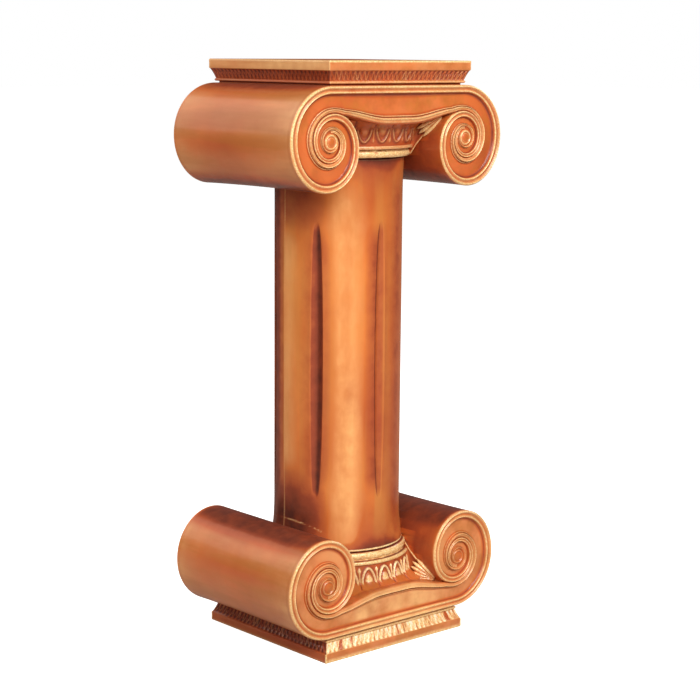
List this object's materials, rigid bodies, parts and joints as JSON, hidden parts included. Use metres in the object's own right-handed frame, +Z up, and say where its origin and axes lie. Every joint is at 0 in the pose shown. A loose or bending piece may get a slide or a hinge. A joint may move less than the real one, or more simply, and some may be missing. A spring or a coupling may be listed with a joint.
{
  "type": "column pedestal with ionic capitals",
  "caption": "Decorative column pedestal: a fluted round shaft between an Ionic capital as the head and an upturned Ionic capital as the foot, with flat plates.",
  "frame": {"origin": "on the floor, at the middle of the foot plate's underside", "axes": "+Z up along the shaft; X across the two volute faces, which look towards -Y (front) and +Y (back)"},
  "size_m": [0.3788, 0.254, 0.8],
  "materials": {
    "capital_finish": "cast resin with an amber-brown stain, gold dry-brushed relief and a gloss lacquer",
    "shaft_finish": "cast resin with a copper-brown stain, darker in the flutes, under a gloss lacquer"
  },
  "bodies": {
    "root": {"upper_capital": "capital_finish", "shaft": "shaft_finish", "lower_capital": "capital_finish"}
  },
  "joints": []
}
